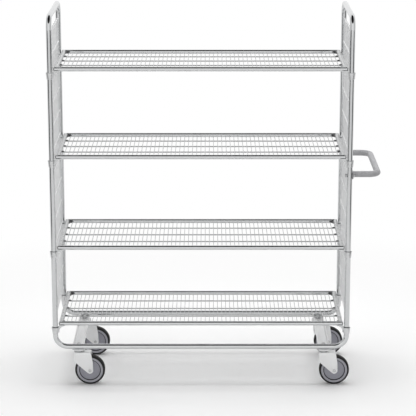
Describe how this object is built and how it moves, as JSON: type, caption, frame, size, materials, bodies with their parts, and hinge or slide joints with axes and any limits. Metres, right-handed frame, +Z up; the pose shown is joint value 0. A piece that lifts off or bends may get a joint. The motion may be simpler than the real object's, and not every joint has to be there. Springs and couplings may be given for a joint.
{
  "type": "mesh shelf trolley",
  "caption": "Tall tube-frame trolley with lift-off wire mesh shelves, mesh ends, swivel casters and an end push handle.",
  "frame": {"origin": "on the floor, under the middle of the whole trolley with its handle", "axes": "+Z up, +X along the trolley towards the push handle, +Y across it towards the back"},
  "size_m": [1.3462, 0.4814, 1.551],
  "materials": {
    "zinc_tube": "bright zinc",
    "zinc_sheet": "bright zinc",
    "zinc_wire": "bright zinc",
    "bolt_steel": "zinc plated",
    "handle_coat": "satin grey",
    "wheel_plastic": "satin",
    "tyre_rubber": "matte"
  },
  "bodies": {
    "frame": {"base_tube_front": "zinc_tube", "base_tube_back": "zinc_tube", "end_frame_left": "zinc_tube", "end_frame_right": "zinc_tube", "post_spigots": "zinc_tube", "base_beam_left": "zinc_sheet", "base_beam_right": "zinc_sheet", "side_mesh_left": "zinc_wire", "side_mesh_right": "zinc_wire", "shelf_1_cups": "zinc_sheet", "shelf_2_cups": "zinc_sheet", "shelf_3_cups": "zinc_sheet", "shelf_4_cups": "zinc_sheet", "push_handle_tube": "handle_coat", "push_handle_plates": "handle_coat", "push_handle_bolts": "bolt_steel", "push_handle_nuts": "bolt_steel", "king_bolts": "bolt_steel", "king_nuts": "bolt_steel", "swivel_heads": "zinc_sheet", "swivel_rings": "zinc_sheet"},
    "shelf_1": {"shelf_1_rails": "zinc_tube", "shelf_1_mesh": "zinc_wire", "shelf_1_hooks": "zinc_sheet"},
    "shelf_2": {"shelf_2_rails": "zinc_tube", "shelf_2_mesh": "zinc_wire", "shelf_2_hooks": "zinc_sheet"},
    "shelf_3": {"shelf_3_rails": "zinc_tube", "shelf_3_mesh": "zinc_wire", "shelf_3_hooks": "zinc_sheet"},
    "shelf_4": {"shelf_4_rails": "zinc_tube", "shelf_4_mesh": "zinc_wire", "shelf_4_hooks": "zinc_sheet"},
    "caster_front_left_swivel_body": {"caster_front_left_fork": "zinc_sheet", "caster_front_left_axle": "bolt_steel"},
    "caster_front_left_wheel_body": {"caster_front_left_wheel": "wheel_plastic", "caster_front_left_tyre": "tyre_rubber"},
    "caster_front_right_swivel_body": {"caster_front_right_fork": "zinc_sheet", "caster_front_right_axle": "bolt_steel"},
    "caster_front_right_wheel_body": {"caster_front_right_wheel": "wheel_plastic", "caster_front_right_tyre": "tyre_rubber"},
    "caster_back_left_swivel_body": {"caster_back_left_fork": "zinc_sheet", "caster_back_left_axle": "bolt_steel"},
    "caster_back_left_wheel_body": {"caster_back_left_wheel": "wheel_plastic", "caster_back_left_tyre": "tyre_rubber"},
    "caster_back_right_swivel_body": {"caster_back_right_fork": "zinc_sheet", "caster_back_right_axle": "bolt_steel"},
    "caster_back_right_wheel_body": {"caster_back_right_wheel": "wheel_plastic", "caster_back_right_tyre": "tyre_rubber"}
  },
  "joints": [
    {"name": "shelf_1_lift", "type": "slide", "parent": "frame", "child": "shelf_1", "axis": [0, 0, 1], "range_m": [0, 0.03]},
    {"name": "shelf_2_lift", "type": "slide", "parent": "frame", "child": "shelf_2", "axis": [0, 0, 1], "range_m": [0, 0.03]},
    {"name": "shelf_3_lift", "type": "slide", "parent": "frame", "child": "shelf_3", "axis": [0, 0, 1], "range_m": [0, 0.03]},
    {"name": "shelf_4_lift", "type": "slide", "parent": "frame", "child": "shelf_4", "axis": [0, 0, 1], "range_m": [0, 0.03]},
    {"name": "caster_front_left_swivel", "type": "hinge", "parent": "frame", "child": "caster_front_left_swivel_body", "pos_m": [-0.56539, -0.186, 0.14], "axis": [0, 0, 1], "continuous": true},
    {"name": "caster_front_left_roll", "type": "hinge", "parent": "caster_front_left_swivel_body", "child": "caster_front_left_wheel_body", "pos_m": [-0.51939, -0.186, 0.0625], "axis": [0, 1, 0], "continuous": true},
    {"name": "caster_front_right_swivel", "type": "hinge", "parent": "frame", "child": "caster_front_right_swivel_body", "pos_m": [0.45061, -0.186, 0.14], "axis": [0, 0, 1], "continuous": true},
    {"name": "caster_front_right_roll", "type": "hinge", "parent": "caster_front_right_swivel_body", "child": "caster_front_right_wheel_body", "pos_m": [0.49661, -0.186, 0.0625], "axis": [0, 1, 0], "continuous": true},
    {"name": "caster_back_left_swivel", "type": "hinge", "parent": "frame", "child": "caster_back_left_swivel_body", "pos_m": [-0.56539, 0.186, 0.14], "axis": [0, 0, 1], "continuous": true},
    {"name": "caster_back_left_roll", "type": "hinge", "parent": "caster_back_left_swivel_body", "child": "caster_back_left_wheel_body", "pos_m": [-0.51939, 0.186, 0.0625], "axis": [0, 1, 0], "continuous": true},
    {"name": "caster_back_right_swivel", "type": "hinge", "parent": "frame", "child": "caster_back_right_swivel_body", "pos_m": [0.45061, 0.186, 0.14], "axis": [0, 0, 1], "continuous": true},
    {"name": "caster_back_right_roll", "type": "hinge", "parent": "caster_back_right_swivel_body", "child": "caster_back_right_wheel_body", "pos_m": [0.49661, 0.186, 0.0625], "axis": [0, 1, 0], "continuous": true}
  ]
}
